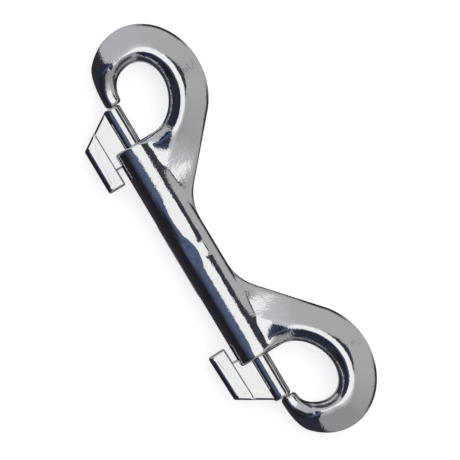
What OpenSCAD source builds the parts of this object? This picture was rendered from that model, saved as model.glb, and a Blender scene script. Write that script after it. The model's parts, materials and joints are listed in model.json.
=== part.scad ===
// Double ended bolt snap, lying on its side, in millimetres.
// One die cast body carries a round barrel, two necks and two closed hooks.
// Each end of the barrel is bored blind and slotted for a sprung bolt with a thumb latch.
// +X runs along the barrel, +Y points from the thumb latches to the backs of the hooks.
// The origin is under the middle of the whole snap, on the surface that it lies on.

/* [Barrel] */
// Diameter of the round barrel
barrel_d = 10.5; // [9:0.1:13]
// Length of the barrel from mouth to mouth
barrel_len = 61.8; // [54:0.2:80]
// Radius of the rounded edge at each mouth
mouth_round = 1.1; // [0.4:0.1:1.6]
// Depth of each blind bore from its mouth
bore_depth = 23.4; // [21:0.2:25]
// Length of each slot, from the mouth to its round inner end
slot_len = 21.4; // [20:0.2:23]
// Clearance between bolt and bore, on the radius
bore_clearance = 0.08; // [0.02:0.01:0.1]
// Clearance on each side of the latch web in its slot
slot_clearance = 0.35; // [0.2:0.05:0.5]

/* [Hooks] */
// Long diameter of the oval eye
eye_len = 18.4; // [15:0.2:22]
// Short diameter of the oval eye
eye_wid = 13.6; // [11:0.2:17]
// Turn of the eye's long diameter away from the barrel
eye_tilt = 23.6; // [15:0.2:30]
// Height of the eye's centre above the barrel axis
eye_rise = 7.95; // [7:0.05:9.5]
// Metal beyond the ends of the eye's long diameter
band_ends = 7.7; // [6:0.1:9]
// Metal beyond the ends of the eye's short diameter
band_sides = 7.4; // [6:0.1:9]
// Turn of the hook's oval outline away from the barrel
band_tilt = 3.7; // [0:0.1:10]
// Shift of the outline from the eye, away from the barrel's middle
band_shift_x = 0.9; // [0:0.1:1.5]
// Shift of the outline from the eye, towards the hook's back
band_shift_y = 2.9; // [2:0.1:3.6]
// Thickness of the hook at the crest round its eye
crest_t = 10; // [8:0.1:10.4]
// Thickness of the neck where it runs into the barrel
neck_t = 7.7; // [7:0.1:9]
// Thickness of the hook at its thin outer edge
edge_t = 1; // [0.8:0.1:3]
// Fall of the hook's flank from the crest to the outer edge
flank_angle = 36; // [28:0.5:40]
// Fall of the neck's flank from the crest to the back
neck_flank = 23; // [20:0.5:32]
// How much steeper the flank falls at the tip's end of the loop, where the metal is narrow
tip_flank_gain = 1.5; // [1:0.05:1.8]
// Rounding from the eye's wall to the crest
crest_round = 2.6; // [2:0.1:3.2]
// The same rounding where the neck meets the barrel's mouth
collar_round = 3.2; // [2:0.1:4]
// Slope of the straight back of each neck
neck_angle = 41.5; // [36:0.5:48]
// Radius where the neck's back runs into the barrel
neck_blend = 13.2; // [8:0.2:18]

/* [Hook tips] */
// Opening between the left mouth and the left hook's tip
left_gate = 10.7; // [10:0.05:13]
// Opening between the right mouth and the right hook's tip
right_gate = 11.8; // [10:0.05:13]
// Diameter of the round tip
tip_d = 4.3; // [3.6:0.1:5]
// Height of the tip's centre above the barrel axis
tip_rise = 1.2; // [0.6:0.1:1.6]
// Rounding of the tip's end
tip_round = 0.9; // [0.5:0.1:1.2]

/* [Bolts and latches] */
// Diameter of each bolt
bolt_d = 4.8; // [4:0.1:5.6]
// Length of each bolt
bolt_len = 17.2; // [16:0.1:18]
// Rounding of the bolt's nose
nose_round = 0.4; // [0.2:0.1:0.8]
// Gap between the bolt's nose and the hook's tip
nose_gap = 0.1; // [0.05:0.05:0.3]
// Thickness of the web that carries the thumb pad
web_t = 2.4; // [1.8:0.1:3]
// Distance from the bolt's nose to the rear edge of the web
web_len = 14.2; // [13:0.1:15.5]
// Distance from the bolt's nose to the rear end of the thumb pad
pad_len = 18.3; // [17:0.1:20]
// Set back of the slanting front edge, where the web meets the pad
front_slant = 3.1; // [2:0.1:4]
// Further set back of the pad's front at its outer corner
pad_slant = 3; // [2:0.1:4]
// Width of the thumb pad across the snap
pad_wid = 4.6; // [3.6:0.1:6]
// Thickness of the thumb pad
pad_t = 5; // [4:0.1:7]
// Rounding of the pad's outer edges
pad_round = 1.25; // [0.6:0.05:1.6]
// Gap between the barrel and the thumb pad
pad_gap = 1.25; // [0.8:0.05:2]
// Rounding of the corners at the pad's rear end
pad_corner = 0.45; // [0.2:0.05:0.9]
// Width of the slope from the web up to the pad's face
pad_step = 0.5; // [0.3:0.05:1]

/* [Springs] */
// Diameter of the spring wire
wire_d = 0.55; // [0.4:0.05:0.6]
// Clearance of the spring inside its bore, on the radius
spring_clearance = 0.2; // [0.1:0.05:0.3]
// Turns of each spring
spring_turns = 8; // [6:0.5:8.5]

/* [Hidden] */

casting_colour = [0.76, 0.77, 0.79];
bolt_colour = [0.82, 0.83, 0.85];
spring_colour = [0.55, 0.56, 0.58];

round_fn = 96;
corner_fn = 48;
// How far a cut runs past a face, and how far joined shapes reach into each other
over = 1;

barrel_r = barrel_d / 2;
mouth_x = barrel_len / 2;
bore_r = bolt_d / 2 + bore_clearance;
slot_w = web_t + 2 * slot_clearance;

// The eye's oval touches the plane of the barrel's mouth
eye_a = eye_len / 2;
eye_b = eye_wid / 2;
eye_half_x = norm([eye_a * cos(eye_tilt), eye_b * sin(eye_tilt)]);
eye_c = [mouth_x + eye_half_x, eye_rise];

// The hook's oval outline lies round the eye
band_a = eye_a + band_ends;
band_b = eye_b + band_sides;
band_c = eye_c + [band_shift_x, band_shift_y];
band_half_y = norm([band_a * sin(band_tilt), band_b * cos(band_tilt)]);

pad_top_y = -barrel_r - pad_gap;
pad_low_y = pad_top_y - pad_wid;
back_y = band_c.y + band_half_y;
middle_y = (back_y + pad_low_y) / 2;

function turned(p, angle) = [
    p.x * cos(angle) - p.y * sin(angle),
    p.x * sin(angle) + p.y * cos(angle)
];
function mix(p, q, f) = p + (q - p) * f;
function ease(f) = let(g = max(0, min(1, f))) g * g * (3 - 2 * g);
function curve(p0, p1, p2, p3, f) =
    pow(1 - f, 3) * p0 + 3 * f * pow(1 - f, 2) * p1 + 3 * f * f * (1 - f) * p2 + pow(f, 3) * p3;
function cross_of(u, v) = abs(u.x * v.y - u.y * v.x);
function unit(v) = v / norm(v);

// Points and directions round the eye and round the hook's outline, by the oval's own angle
function eye_at(t) = eye_c + turned([eye_a * cos(t), eye_b * sin(t)], eye_tilt);
function eye_along(t) = unit(turned([-eye_a * sin(t), eye_b * cos(t)], eye_tilt));
function band_at(t) = band_c + turned([band_a * cos(t), band_b * sin(t)], band_tilt);
function band_along(t) = unit(turned([-band_a * sin(t), band_b * cos(t)], band_tilt));

// The hook leaves its ovals at these angles to close on the gate
eye_close = -45;
band_close = -46;
// The neck begins at these angles, and the eye meets the mouth's plane at the last one
eye_neck = 100;
band_neck = 118;
eye_mouth = 180 - atan2(eye_b * sin(eye_tilt), eye_a * cos(eye_tilt));
// Reach of the curves from the ovals to the tip, inside and outside
inner_pull = 1.8;
outer_pull = 3;

// The neck's straight back touches the outline's oval, then a round on the barrel's back
back_normal = [-sin(neck_angle), cos(neck_angle)];
band_normal = turned(back_normal, -band_tilt);
band_back = atan2(band_b * band_normal.y, band_a * band_normal.x);
back_start = band_at(band_back);
blend_y = barrel_r + neck_blend;
blend_x = back_start.x + (neck_blend - (blend_y - back_start.y) * back_normal.y) / back_normal.x;
blend_c = [blend_x, blend_y];
back_end = blend_c - neck_blend * back_normal;

// Stations along the hook: its rounded end, the tip, the loop and the neck
end_steps = 4;
tip_steps = 8;
loop_steps = 24;
neck_steps = 26;
loop_first = end_steps + tip_steps;
neck_first = loop_first + loop_steps;
last = neck_first + neck_steps;
// Steps from the eye's wall to the crest, and again from the crest to the outer edge
quarter = 6;
step_angle = 90 / quarter;
ring = 4 * quarter;

// The neck's stations are shared out by the lengths of its stretches
root = [mouth_x - mouth_round, 0];
eye_run = norm(eye_at(eye_neck) - eye_at(eye_mouth));
eye_share = eye_run / (eye_run + norm(eye_at(eye_mouth) - root));
oval_run = norm(band_at(band_neck) - back_start);
line_run = norm(back_end - back_start);
blend_run = neck_blend * neck_angle * PI / 180;
oval_share = oval_run / (oval_run + line_run + blend_run);
line_share = line_run / (oval_run + line_run + blend_run);
blend_share = 1 - oval_share - line_share;

function neck_inner(f) = f < eye_share
    ? eye_at(mix(eye_neck, eye_mouth, f / eye_share))
    : mix(eye_at(eye_mouth), root, (f - eye_share) / (1 - eye_share));
function blend_at(f) = blend_c + neck_blend * [sin(neck_angle * (1 - f)), -cos(neck_angle * (1 - f))];
function neck_outer(f) = f < oval_share
    ? band_at(mix(band_neck, band_back, f / oval_share))
    : f < oval_share + line_share
        ? mix(back_start, back_end, (f - oval_share) / line_share)
        : blend_at((f - oval_share - line_share) / blend_share);

// The hook's tip, gate wide from the mouth: a rounded end, then curves out to the two ovals
function tip_edge(gate, side, i) = [
    mouth_x + gate + tip_round * (1 - cos(90 * i / end_steps)),
    tip_rise + side * (tip_d / 2 - tip_round * (1 - sin(90 * i / end_steps)))
];
function tip_inner(gate, f) = curve(
    tip_edge(gate, 1, end_steps),
    tip_edge(gate, 1, end_steps) + [inner_pull, 0],
    eye_at(eye_close) - inner_pull * eye_along(eye_close),
    eye_at(eye_close),
    f
);
function tip_outer(gate, f) = curve(
    tip_edge(gate, -1, end_steps),
    tip_edge(gate, -1, end_steps) + [outer_pull, 0],
    band_at(band_close) - outer_pull * band_along(band_close),
    band_at(band_close),
    f
);
function inner_at(gate, k) = k < end_steps
    ? tip_edge(gate, 1, k)
    : k < loop_first
        ? tip_inner(gate, (k - end_steps) / tip_steps)
        : k < neck_first
            ? eye_at(mix(eye_close, eye_neck, (k - loop_first) / loop_steps))
            : neck_inner((k - neck_first) / neck_steps);
function outer_at(gate, k) = k < end_steps
    ? tip_edge(gate, -1, k)
    : k < loop_first
        ? tip_outer(gate, (k - end_steps) / tip_steps)
        : k < neck_first
            ? band_at(mix(band_close, band_neck, (k - loop_first) / loop_steps))
            : neck_outer((k - neck_first) / neck_steps);

// The section is round at the tip and turns into a crest with a falling flank along the loop
shape_first = end_steps + round(tip_steps / 4);
shape_last = loop_first + round(loop_steps / 4);
function shape_at(k) = ease((k - shape_first) / (shape_last - shape_first));
function neck_part(k) = ease((k - neck_first) / neck_steps);
function tip_part(k) = 1 - ease((k - loop_first) / (loop_steps / 2));

// One station: half of its ring, from the eye's wall over the crest to the outer edge
function half_ring(gate, k) = let(
    inner = inner_at(gate, k),
    outer = outer_at(gate, k),
    width = norm(outer - inner),
    across = (outer - inner) / width,
    along = unit(outer_at(gate, min(last, k + 1)) - outer_at(gate, max(0, k - 1))),
    slant = k < loop_first ? 1 : cross_of(across, along),
    shape = shape_at(k),
    wall_round = mix(width / 2, mix(crest_round, collar_round, neck_part(k)), shape),
    full = min(barrel_r, mix(crest_t, neck_t, neck_part(k)) / 2),
    steeper = mix(1, tip_flank_gain, tip_part(k)),
    fall = tan(mix(flank_angle, neck_flank, neck_part(k))) * steeper * slant,
    crest = min(full, edge_t / 2 + fall * (width - wall_round)),
    top = mix(width / 2, crest, shape)
) [for (j = [0:2 * quarter]) let(
    rising = j <= quarter,
    reach = rising
        ? wall_round * (1 - cos(step_angle * j))
        : wall_round + (width - wall_round) * sin(step_angle * (j - quarter)),
    flank = min(crest, edge_t / 2 + fall * (width - reach)),
    height = j == 2 * quarter ? 0 : rising
        ? top * sin(step_angle * j)
        : mix(width / 2 * cos(step_angle * (j - quarter)), flank, shape)
) [inner.x + across.x * reach, inner.y + across.y * reach, height]];

function whole_ring(gate, k) = let(half = half_ring(gate, k)) concat(
    half,
    [for (j = [2 * quarter - 1:-1:1]) [half[j].x, half[j].y, -half[j].z]]
);

// The hook as a skin over its stations, closed at both ends by fans round a middle point
module hook(gate) {
    rings = [for (k = [0:last]) each whole_ring(gate, k)];
    middles = [for (k = [0, last]) let(m = (inner_at(gate, k) + outer_at(gate, k)) / 2) [m.x, m.y, 0]];
    tip_middle = len(rings);
    root_middle = tip_middle + 1;
    sides = [for (k = [0:last - 1]) for (j = [0:ring - 1]) let(
        a = k * ring + j,
        b = k * ring + (j + 1) % ring
    ) each [[a, b + ring, b], [a, a + ring, b + ring]]];
    tip_cap = [for (j = [0:ring - 1]) [j, (j + 1) % ring, tip_middle]];
    root_cap = [for (j = [0:ring - 1]) [last * ring + (j + 1) % ring, last * ring + j, root_middle]];
    polyhedron(concat(rings, middles), concat(tip_cap, sides, root_cap));
}

// Puts what is drawn round the barrel's axis into the part's own frame
module in_place() {
    translate([0, -middle_y, barrel_r]) children();
}

// A rod along +X from the origin, with both its edges rounded
module round_rod(d, length, edge) {
    rotate([0, 90, 0]) rotate_extrude($fn = round_fn) {
        square([d / 2 - edge, length]);
        translate([0, edge]) square([d / 2, length - 2 * edge]);
        for (y = [edge, length - edge]) translate([d / 2 - edge, y]) circle(edge, $fn = corner_fn);
    }
}

// The blind bore and the slot of the right-hand end
module bolt_way() {
    translate([mouth_x - bore_depth, 0, 0]) rotate([0, 90, 0])
        cylinder(r = bore_r, h = bore_depth + over, $fn = round_fn);
    rotate([90, 0, 0]) linear_extrude(barrel_r + over) {
        translate([mouth_x - slot_len + slot_w / 2, -slot_w / 2])
            square([slot_len - slot_w / 2 + over, slot_w]);
        translate([mouth_x - slot_len + slot_w / 2, 0]) circle(slot_w / 2, $fn = corner_fn);
    }
}

module body() {
    color(casting_colour) in_place() difference() {
        union() {
            translate([-mouth_x, 0, 0]) round_rod(barrel_d, barrel_len, mouth_round);
            hook(right_gate);
            mirror([1, 0, 0]) hook(left_gate);
        }
        bolt_way();
        mirror([1, 0, 0]) bolt_way();
    }
}

// The thin web under the bolt, from the bolt down into the thumb pad
module web() {
    linear_extrude(web_t, center = true) polygon([
        [-nose_round, -bolt_d / 2 + nose_round],
        [-front_slant, pad_top_y],
        [-front_slant - pad_step, pad_top_y - over],
        [-web_len, pad_top_y - over],
        [-web_len, -bolt_d / 2 + nose_round]
    ]);
}

// The thumb pad seen from above
module pad_plan() {
    polygon([
        [-front_slant, pad_top_y],
        [-front_slant - pad_slant, pad_low_y],
        [-pad_len + pad_corner, pad_low_y],
        [-pad_len, pad_low_y + pad_corner],
        [-pad_len, pad_top_y - pad_corner],
        [-pad_len + pad_corner, pad_top_y]
    ]);
    for (y = [pad_low_y + pad_corner, pad_top_y - pad_corner])
        translate([-pad_len + pad_corner, y]) circle(pad_corner, $fn = corner_fn);
}

// The thumb pad seen along the barrel, drawn as [height, -y]
module pad_section() {
    polygon([
        [web_t / 2, -pad_top_y],
        [pad_t / 2, pad_step - pad_top_y],
        [pad_t / 2, -pad_low_y - pad_round],
        [-pad_t / 2, -pad_low_y - pad_round],
        [-pad_t / 2, pad_step - pad_top_y],
        [-web_t / 2, -pad_top_y]
    ]);
    translate([-pad_t / 2 + pad_round, -pad_low_y - pad_round - over])
        square([pad_t - 2 * pad_round, pad_round + over]);
    for (side = [-1, 1]) translate([side * (pad_t / 2 - pad_round), -pad_low_y - pad_round])
        circle(pad_round, $fn = corner_fn);
}

// One bolt with its latch, drawn with the nose at the origin and the rod towards -X
module bolt() {
    mirror([1, 0, 0]) round_rod(bolt_d, bolt_len, nose_round);
    web();
    intersection() {
        linear_extrude(pad_t + over, center = true) pad_plan();
        mirror([1, 0, 0]) mirror([0, 1, 0]) rotate([0, 90, 0]) linear_extrude(pad_len + over)
            pad_section();
    }
}

module right_bolt() {
    color(bolt_colour) in_place() translate([mouth_x + right_gate - nose_gap, 0, 0]) bolt();
}

module left_bolt() {
    color(bolt_colour) in_place() mirror([1, 0, 0])
        translate([mouth_x + left_gate - nose_gap, 0, 0]) bolt();
}

// A compression spring along +X, from the bottom of its bore to the rear of its bolt
spring_r = bore_r - spring_clearance - wire_d / 2;
// Gap between each end of a spring and what it presses on
seat_gap = 0.1;
wire_sides = 8;
turn_steps = 16;
module spring(gate) {
    first = mouth_x - bore_depth + seat_gap + wire_d / 2;
    reach = mouth_x + gate - nose_gap - bolt_len - seat_gap - wire_d / 2 - first;
    rings_last = ceil(spring_turns * turn_steps);
    points = [for (k = [0:rings_last]) for (j = [0:wire_sides - 1]) let(
        turn = 360 * spring_turns * k / rings_last,
        r = spring_r + wire_d / 2 * cos(360 * j / wire_sides),
        x = first + reach * k / rings_last + wire_d / 2 * sin(360 * j / wire_sides)
    ) [x, r * cos(turn), r * sin(turn)]];
    sides = [for (k = [0:rings_last - 1]) for (j = [0:wire_sides - 1]) let(
        a = k * wire_sides + j,
        b = k * wire_sides + (j + 1) % wire_sides
    ) each [[a, b + wire_sides, b], [a, a + wire_sides, b + wire_sides]]];
    first_cap = [[for (j = [0:wire_sides - 1]) j]];
    last_cap = [[for (j = [wire_sides - 1:-1:0]) rings_last * wire_sides + j]];
    polyhedron(points, concat(first_cap, sides, last_cap));
}

module right_spring() {
    color(spring_colour) in_place() spring(right_gate);
}

module left_spring() {
    color(spring_colour) in_place() mirror([1, 0, 0]) spring(left_gate);
}

body();
left_bolt();
right_bolt();
left_spring();
right_spring();
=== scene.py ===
# %% [markdown]
# # Double ended bolt snap
# The real object is a small fitting of bright plated zinc: a round barrel with a closed hook at
# each end, and in each end a sprung bolt that closes the hook's gate. Zinc is cast in two half
# moulds, so every outside surface can be lifted out of its mould half without an undercut.
# That is also the plan of this lesson: a cast surface is a height over the parting plane.

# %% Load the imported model
import json
import math

import bmesh
import bpy
import numpy as np
from mathutils import Matrix, Vector

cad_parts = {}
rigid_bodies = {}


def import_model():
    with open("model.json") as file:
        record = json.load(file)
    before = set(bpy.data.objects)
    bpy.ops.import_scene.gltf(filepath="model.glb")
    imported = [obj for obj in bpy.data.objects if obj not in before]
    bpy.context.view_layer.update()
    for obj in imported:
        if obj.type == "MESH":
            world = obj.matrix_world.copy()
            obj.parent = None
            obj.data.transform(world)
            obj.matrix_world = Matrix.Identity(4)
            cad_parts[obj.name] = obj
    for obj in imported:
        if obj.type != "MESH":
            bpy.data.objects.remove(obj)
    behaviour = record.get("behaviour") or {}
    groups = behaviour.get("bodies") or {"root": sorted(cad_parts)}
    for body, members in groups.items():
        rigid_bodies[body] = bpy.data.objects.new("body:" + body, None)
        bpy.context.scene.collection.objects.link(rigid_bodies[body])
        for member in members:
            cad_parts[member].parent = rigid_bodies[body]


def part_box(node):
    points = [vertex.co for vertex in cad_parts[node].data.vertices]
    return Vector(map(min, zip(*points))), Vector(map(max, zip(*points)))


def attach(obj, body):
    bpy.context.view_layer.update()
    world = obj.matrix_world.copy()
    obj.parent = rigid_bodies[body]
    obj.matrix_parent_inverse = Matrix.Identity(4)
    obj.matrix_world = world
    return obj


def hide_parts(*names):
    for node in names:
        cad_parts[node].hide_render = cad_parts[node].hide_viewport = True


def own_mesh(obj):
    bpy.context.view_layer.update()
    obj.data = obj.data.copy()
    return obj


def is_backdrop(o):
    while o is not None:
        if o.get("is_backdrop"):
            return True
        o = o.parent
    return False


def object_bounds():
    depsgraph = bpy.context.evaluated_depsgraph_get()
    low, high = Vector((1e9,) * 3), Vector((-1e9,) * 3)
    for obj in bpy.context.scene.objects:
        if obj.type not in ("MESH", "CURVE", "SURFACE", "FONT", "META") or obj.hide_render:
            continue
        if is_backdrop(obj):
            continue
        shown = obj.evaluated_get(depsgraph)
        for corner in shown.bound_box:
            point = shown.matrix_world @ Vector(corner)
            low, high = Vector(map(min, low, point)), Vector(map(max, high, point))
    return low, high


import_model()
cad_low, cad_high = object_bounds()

MM = 0.001
body_low, body_high = (np.array(corner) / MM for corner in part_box("body"))
bore_low, bore_high = (np.array(corner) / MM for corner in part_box("right_spring"))
right_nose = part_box("right_bolt")[1].x / MM
left_nose = -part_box("left_bolt")[0].x / MM

barrel_r = (body_high[2] - body_low[2]) / 2
axis_y = (bore_low[1] + bore_high[1]) / 2
axis_z = (body_low[2] + body_high[2]) / 2
print(f"barrel radius {barrel_r:.2f} mm, its axis at y {axis_y:.2f} and z {axis_z:.2f} mm")
print(f"the bolts' noses stand at x {-left_nose:.2f} and {right_nose:.2f} mm")

# %% [markdown]
# ## From arrays to meshes
# Shapes below are worked out in millimetres round the barrel's axis, because that is how a
# maker would dimension them. One helper moves them into the frame, in metres, and closes the
# grids into a mesh. Points that two grids share are merged there, so the skin has no seam.

# %% Grids into a closed mesh
MERGE_GAP = 0.0005 * MM


def grid_faces(rows, columns, first=0):
    """Corner numbers of the four-sided faces of a grid whose points are stored row by row."""
    number = first + np.arange(rows * columns).reshape(rows, columns)
    return np.stack(
        [number[:-1, :-1], number[1:, :-1], number[1:, 1:], number[:-1, 1:]], axis=-1
    ).reshape(-1, 4)


def mesh_of(name, grids):
    """One closed mesh from grids of points: all faces together, shared points merged, outward."""
    points = np.concatenate([grid.reshape(-1, 3) for grid in grids])
    starts = np.cumsum([0] + [grid.shape[0] * grid.shape[1] for grid in grids])
    faces = np.concatenate(
        [grid_faces(*grid.shape[:2], first) for grid, first in zip(grids, starts)]
    )
    placed = (points + np.array([0.0, axis_y, axis_z])) * MM
    mesh = bpy.data.meshes.new(name)
    mesh.from_pydata(placed.tolist(), [], faces.tolist())
    shape = bmesh.new()
    shape.from_mesh(mesh)
    bmesh.ops.remove_doubles(shape, verts=shape.verts, dist=MERGE_GAP)
    bmesh.ops.dissolve_degenerate(shape, edges=shape.edges, dist=MERGE_GAP / 10)
    bmesh.ops.recalc_face_normals(shape, faces=shape.faces)
    open_edges = sum(not edge.is_manifold for edge in shape.edges)
    if shape.calc_volume(signed=True) < 0:
        bmesh.ops.reverse_faces(shape, faces=shape.faces)
    shape.to_mesh(mesh)
    shape.free()
    print(f"{name}: {len(mesh.polygons)} faces, {open_edges} open edges")
    return mesh


def object_of(name, grids):
    """An object at the origin that holds the mesh of these grids."""
    thing = bpy.data.objects.new(name, mesh_of(name, grids))
    bpy.context.scene.collection.objects.link(thing)
    return thing


# %% [markdown]
# ## The outlines of the body, seen from above
# The eye of the hook and the outside of the hook are both ovals, and the neck's back is a
# straight line that touches the outer oval and then a round on the barrel. Working the same
# few curves out here as in the solid keeps the two outlines alike.

# %% Driving sizes of the body, in millimetres
mouth_x = 30.9
mouth_round = 1.1
eye_a, eye_b, eye_turn = 9.2, 6.8, math.radians(23.6)
eye_rise = 7.95
hook_a, hook_b, hook_turn = 16.9, 14.2, math.radians(3.7)
hook_shift = np.array([0.9, 2.9])
neck_slope = math.radians(41.5)
neck_round = 13.2
nose_gap = 0.1
tip_r, tip_rise, tip_round = 2.15, 1.2, 0.9
eye_close, hook_close = math.radians(-45), math.radians(-46)
eye_neck, hook_neck = math.radians(100), math.radians(118)

eye_reach = math.hypot(eye_a * math.cos(eye_turn), eye_b * math.sin(eye_turn))
eye_c = np.array([mouth_x + eye_reach, eye_rise])
hook_c = eye_c + hook_shift
eye = (eye_c, eye_a, eye_b, eye_turn)
hook = (hook_c, hook_a, hook_b, hook_turn)
eye_mouth = math.pi - math.atan2(eye_b * math.sin(eye_turn), eye_a * math.cos(eye_turn))


def oval_at(oval, t):
    """Points of an oval: its long and short half axes times the cosine and sine of t, then
    turned and moved."""
    (cx, cy), a, b, turn = oval
    u, v = a * np.cos(t), b * np.sin(t)
    across, up = u * math.cos(turn) - v * math.sin(turn), u * math.sin(turn) + v * math.cos(turn)
    return np.stack([cx + across, cy + up], -1)


back_out = np.array([-math.sin(neck_slope), math.cos(neck_slope)])
hook_back = math.atan2(
    hook_b * math.cos(neck_slope - hook_turn), -hook_a * math.sin(neck_slope - hook_turn)
)
back_start = oval_at(hook, np.array(hook_back))
blend_y = barrel_r + neck_round
blend_x = back_start[0] + (neck_round - (blend_y - back_start[1]) * back_out[1]) / back_out[0]
blend_c = np.array([blend_x, blend_y])
back_end = blend_c - neck_round * back_out
back_run = np.linalg.norm(back_end - back_start)
back_along = (back_end - back_start) / back_run
print(f"the straight back runs from {back_start.round(2)} to {back_end.round(2)}")
print(f"the round that follows it ends at x {blend_c[0]:.2f}")

# %% [markdown]
# ## Distances to the outlines
# A casting's walls are rounded by an amount that depends on how far in from its outline a point
# lies. So the height needs true distances: to the eye's oval inside, and to the hook's back
# outside.


# %% Distance to an oval and to the hook's back
def oval_gap(x, y, oval):
    """Distance from each point to an oval, positive outside.
    The point is turned into the oval's own axes and folded into one quarter. There the circle
    that hugs the oval at the present guess gives a better guess, and six rounds settle it."""
    (cx, cy), a, b, turn = oval
    px = np.abs((x - cx) * math.cos(turn) + (y - cy) * math.sin(turn))
    py = np.abs((y - cy) * math.cos(turn) - (x - cx) * math.sin(turn))
    tx = np.full_like(px, math.sqrt(0.5))
    ty = tx.copy()
    for _ in range(6):
        hug_x, hug_y = (a * a - b * b) * tx**3 / a, (b * b - a * a) * ty**3 / b
        radius = np.hypot(a * tx - hug_x, b * ty - hug_y)
        reach = np.maximum(np.hypot(px - hug_x, py - hug_y), 1e-9)
        tx = np.clip(((px - hug_x) * radius / reach + hug_x) / a, 0, 1)
        ty = np.clip(((py - hug_y) * radius / reach + hug_y) / b, 0, 1)
        size = np.hypot(tx, ty)
        tx, ty = tx / size, ty / size
    outside = (px / a) ** 2 + (py / b) ** 2 > 1
    return np.where(outside, 1, -1) * np.hypot(px - a * tx, py - b * ty)


# Past this x only the hook's oval is near, and not its straight back
LOOP_X = 36.0


def back_gap(x, y):
    """Distance inwards from the back of the body: from the oval, then the straight back, then
    the round, then the barrel's own back, each in the strip that lies square to it."""
    past = (x - back_start[0]) * back_along[0] + (y - back_start[1]) * back_along[1]
    to_line = (back_start[0] - x) * back_out[0] + (back_start[1] - y) * back_out[1]
    to_round = np.hypot(x - blend_c[0], y - blend_c[1]) - neck_round
    straight = np.where(past < back_run, to_line, np.where(x > blend_c[0], to_round, barrel_r - y))
    return np.where((past < 0) | (x > LOOP_X), -oval_gap(x, y, hook), straight)


def wall_gap(x, y):
    """Distance from the wall of the eye, or from the plane of the barrel's mouth below it."""
    beside_mouth = (x < mouth_x + 1) & (y < oval_at(eye, np.array(eye_mouth))[1])
    return np.where(beside_mouth, mouth_x - x, oval_gap(x, y, eye))


# %% [markdown]
# ## The height of the casting over its parting plane
# The barrel gives a dome. The hook gives a crest that runs round the eye and a flank that falls
# from it to a thin edge, which is where the mould halves meet and so where the metal is
# thinnest. A soft minimum rounds the crest into the flank, and a soft maximum lets the neck
# flow into the barrel as molten metal does.

# %% Sizes of the section, in millimetres
crest_high, neck_sink, valley_high = 5.1, 0.35, 3.85
edge_half, edge_round = 0.65, 0.9
fall_loop, fall_foot, fall_middle = 0.76, 0.385, 0.355
crest_blend, crease_blend, barrel_blend = 0.85, 0.4, 1.0
wall_tip, wall_far, wall_neck = 3.0, 1.9, 3.0
tip_high, tip_climb, tip_shoulder, tip_blend = 2.4, 0.36, 0.6, 0.8
TIP_GAIN = 0.85
TIP_CREST, TIP_INSIDE, TIP_OUTSIDE = 0.58, 2.4, 1.6
EYE_SQUARENESS, TIP_SQUARENESS, MOUTH_SQUARENESS, EYE_FOOT = 1.3, 2.0, 3.0, 0.42

# %% Where the section changes
# Each pair is the place where a change starts and the length over which it runs. The first
# three are measured down the neck's straight back, and the next two are turns round the eye
NECK_SINKS, NECK_DIPS, FALL_LESSENS = (-3.0, 12.0), (6.6, 5.6), (1.0, 14.0)
WALL_WIDENS, WALL_TO_TIP = (math.radians(5), math.radians(110)), (0.0, math.radians(60))
MOUTH_WIDENS, MOUTH_SQUARE_Y, MOUTH_SQUARE_X = (0.5, 5.5), (1.5, 5.0), (33.0, 3.0)
TIP_SOFTENS, TIP_STEEPENS, TIP_SHOULDER_Y = (2.0, 6.0), (0.0, 10.0), 5.0
MIDDLE_STEEPENS, CREST_SOFTENS = (8.0, 13.0), (26.0, 8.0)
WEB_GROWS, WEB_ENDS, FOOT_RISES = 5.0, (-1.6, 1.4), (1.0, 6.0)
BLEND_GROWS, LEAST_BLEND = 1.5, 0.001
TOUCH = 0.01


# %% Smooth steps and soft joins
def ease(f):
    """Smooth step: three times the square less twice the cube, held between 0 and 1."""
    g = np.clip(f, 0, 1)
    return g * g * (3 - 2 * g)


def ramp(value, start, run):
    """Smooth step from 0 at start to 1 where the value has gone the run past it."""
    return ease((value - start) / run)


def soft_min(a, b, k):
    """The smaller of two heights, rounded over where they differ by less than k."""
    near = np.clip(1 - np.abs(a - b) / k, 0, 1)
    return np.minimum(a, b) - near * near * k / 4


def soft_max(a, b, k):
    """The larger of two heights, rounded over where they differ by less than k."""
    return -soft_min(-a, -b, k)


def rounded(gap, radius, squareness):
    """Rise of a rounded wall from 0 at the wall to 1 at its radius. Squareness 2 is an ellipse,
    less is nearer a bevel, and more is a flatter face with a tighter edge."""
    q = 1 - np.clip(gap / radius, 0, 1)
    return (1 - q**squareness) ** (1 / squareness)


# %% Wall and flank
def wall_radius(x, y):
    """Radius of the wall's rounding: small at the far end of the eye and at the mouth's foot,
    large at the neck and at the tip."""
    round_eye = np.arctan2(y - eye_c[1], x - eye_c[0])
    round_eye = np.where(round_eye < -math.pi / 2, round_eye + 2 * math.pi, round_eye)
    loop = wall_far + (wall_neck - wall_far) * ramp(round_eye, *WALL_WIDENS)
    loop = loop + (wall_tip - wall_far) * ramp(-round_eye, *WALL_TO_TIP)
    mouth = mouth_round + (wall_neck - mouth_round) * ramp(y, *MOUTH_WIDENS)
    return np.where((x < mouth_x + 1) & (y < eye_c[1]), mouth, loop)


def wall_squareness(x, y):
    """Under 2 round the eye, where the wall meets the crest in a soft edge, 2 at the tip, and 3
    where the barrel's mouth is turned flat."""
    at_tip = (1 - ramp(y, *TIP_SOFTENS)) * (x > LOOP_X)
    loop = EYE_SQUARENESS + (TIP_SQUARENESS - EYE_SQUARENESS) * at_tip
    at_mouth = (1 - ramp(y, *MOUTH_SQUARE_Y)) * (1 - ramp(x, *MOUTH_SQUARE_X))
    return loop + (MOUTH_SQUARENESS - loop) * at_mouth


def down_neck(x, y):
    """Distance along the neck's straight back, from where it leaves the hook's oval."""
    return (x - back_start[0]) * back_along[0] + (y - back_start[1]) * back_along[1]


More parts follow.
